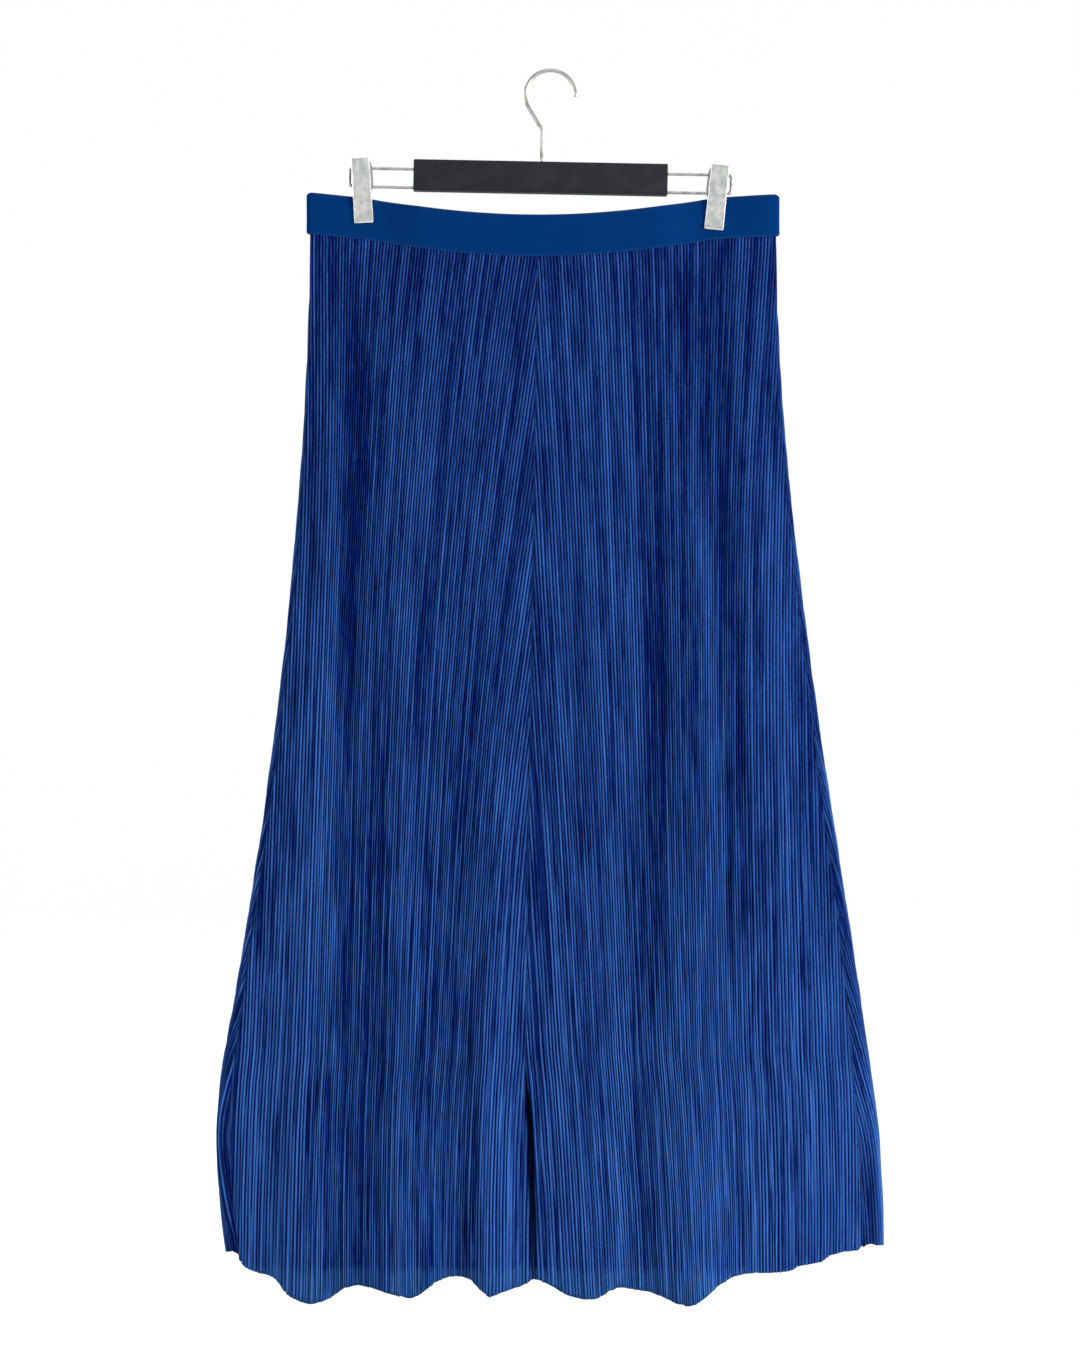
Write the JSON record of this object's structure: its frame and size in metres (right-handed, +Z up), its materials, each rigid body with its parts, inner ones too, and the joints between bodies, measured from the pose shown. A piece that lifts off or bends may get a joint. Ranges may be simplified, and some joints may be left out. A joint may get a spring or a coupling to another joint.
{
  "type": "pleated maxi skirt on a clip hanger",
  "caption": "Long blue skirt of finely pleated cloth with an elastic waistband and a front slit, hanging flat from a hanger with sliding clips.",
  "frame": {"origin": "inside of the hook's top, where it rests on a rail", "axes": "+Z up, the front of the skirt faces -Y, +X is on the viewer's right"},
  "size_m": [0.6085, 0.0807, 1.1174],
  "materials": {
    "pleated_cloth": "satin pleated polyester",
    "ribbed_elastic": "matt, finely ribbed elastic",
    "plated_steel": "dull zinc plating",
    "bright_wire": "drawn bright wire",
    "dark_bar": "matt dark grey"
  },
  "bodies": {
    "root": {"hanger_hook": "bright_wire", "hanger_bar": "dark_bar", "wire_loop_left": "bright_wire", "wire_loop_right": "bright_wire", "clip_left_front_jaw": "plated_steel", "clip_left_back_jaw": "plated_steel", "clip_left_spring": "bright_wire", "clip_right_front_jaw": "plated_steel", "clip_right_back_jaw": "plated_steel", "clip_right_spring": "bright_wire", "waistband": "ribbed_elastic", "skirt_front_left": "pleated_cloth", "skirt_front_right": "pleated_cloth", "skirt_back": "pleated_cloth"}
  },
  "joints": []
}
